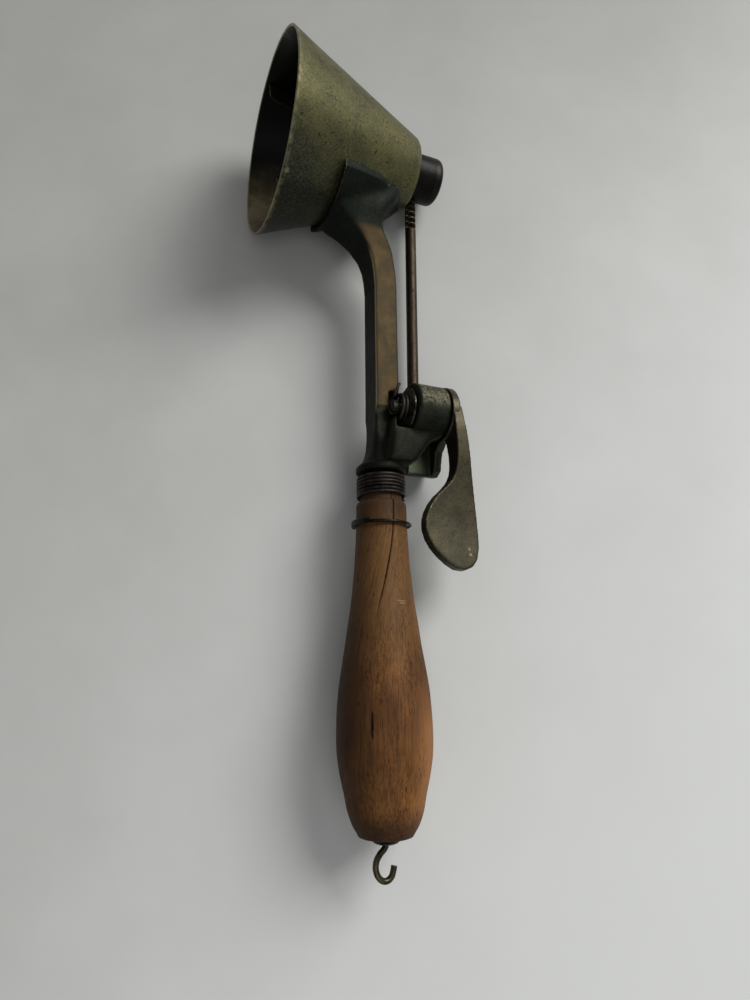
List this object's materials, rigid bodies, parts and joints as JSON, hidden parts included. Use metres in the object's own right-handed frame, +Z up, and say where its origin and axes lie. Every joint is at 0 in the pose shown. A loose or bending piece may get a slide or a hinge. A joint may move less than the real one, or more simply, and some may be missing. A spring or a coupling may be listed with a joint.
{
  "type": "ice cream disher",
  "caption": "Conical ice cream disher: a sprung thumb lever drives a rack and pinion that turn a two-blade scraper in a brass cone on a turned wooden handle with a hook.",
  "frame": {"origin": "centre of the footprint, on the table that it lies on", "axes": "+Y from the handle to the bowl, +X to the side of the gear cap and thumb lever, +Z up from the table; it lies on the bowl's rim, the gear cap and the handle's belly"},
  "size_m": [0.077, 0.2594, 0.0613],
  "materials": {
    "olive_brass": "aged, olive",
    "dark_bronze_casting": "dark patina with green tarnish",
    "dark_cap": "blackened",
    "rod_brass": "brown, worn",
    "lever_brass": "olive brown, scratched",
    "scraper_brass": "dull",
    "steel_small": "dull",
    "iron_wire": "rusty",
    "brass_wire": "dark",
    "turned_wood": "worn, oiled",
    "iron_tang": "rough"
  },
  "bodies": {
    "frame": {"frame_casting": "dark_bronze_casting", "cone_bowl": "olive_brass", "shaft_bush": "scraper_brass", "gear_cap": "dark_cap", "wood_handle": "turned_wood", "handle_tang": "iron_tang", "binding_wire": "iron_wire", "wire_ring": "brass_wire", "hook_plate": "brass_wire", "hanging_hook": "brass_wire", "spring_washer": "steel_small", "torsion_spring": "iron_wire"},
    "lever": {"thumb_lever": "lever_brass", "pivot_shaft": "steel_small"},
    "rack": {"rack_rod": "rod_brass", "rack_pin": "steel_small"},
    "scraper": {"scraper_shaft": "steel_small", "shaft_end_nut": "steel_small", "pinion": "scraper_brass", "scraper_hub": "scraper_brass", "hub_nut": "steel_small", "scraper_blade_a": "scraper_brass", "scraper_blade_b": "scraper_brass"}
  },
  "joints": [
    {"name": "thumb_lever_press", "type": "hinge", "parent": "frame", "child": "lever", "pos_m": [0.01114, 0.00423, 0.02208], "axis": [0.9319, 0.0045, -0.3627], "range_deg": [0, 56], "stiffness_Nm_per_rad": 0.1, "springref_deg": -28.65},
    {"name": "rack_slide", "type": "slide", "parent": "frame", "child": "rack", "axis": [0.0114, 0.9999, 0.008], "range_m": [0, 0.01172]},
    {"name": "scraper_turn", "type": "hinge", "parent": "frame", "child": "scraper", "pos_m": [0.00893, 0.09789, 0.01756], "axis": [0.9319, 0.0045, -0.3627], "range_deg": [0, 178.97]}
  ],
  "couplings": [
    {"joint": "rack_slide", "follows": "thumb_lever_press", "m_per_rad": 0.011981},
    {"joint": "scraper_turn", "follows": "thumb_lever_press", "ratio": 3.195}
  ]
}
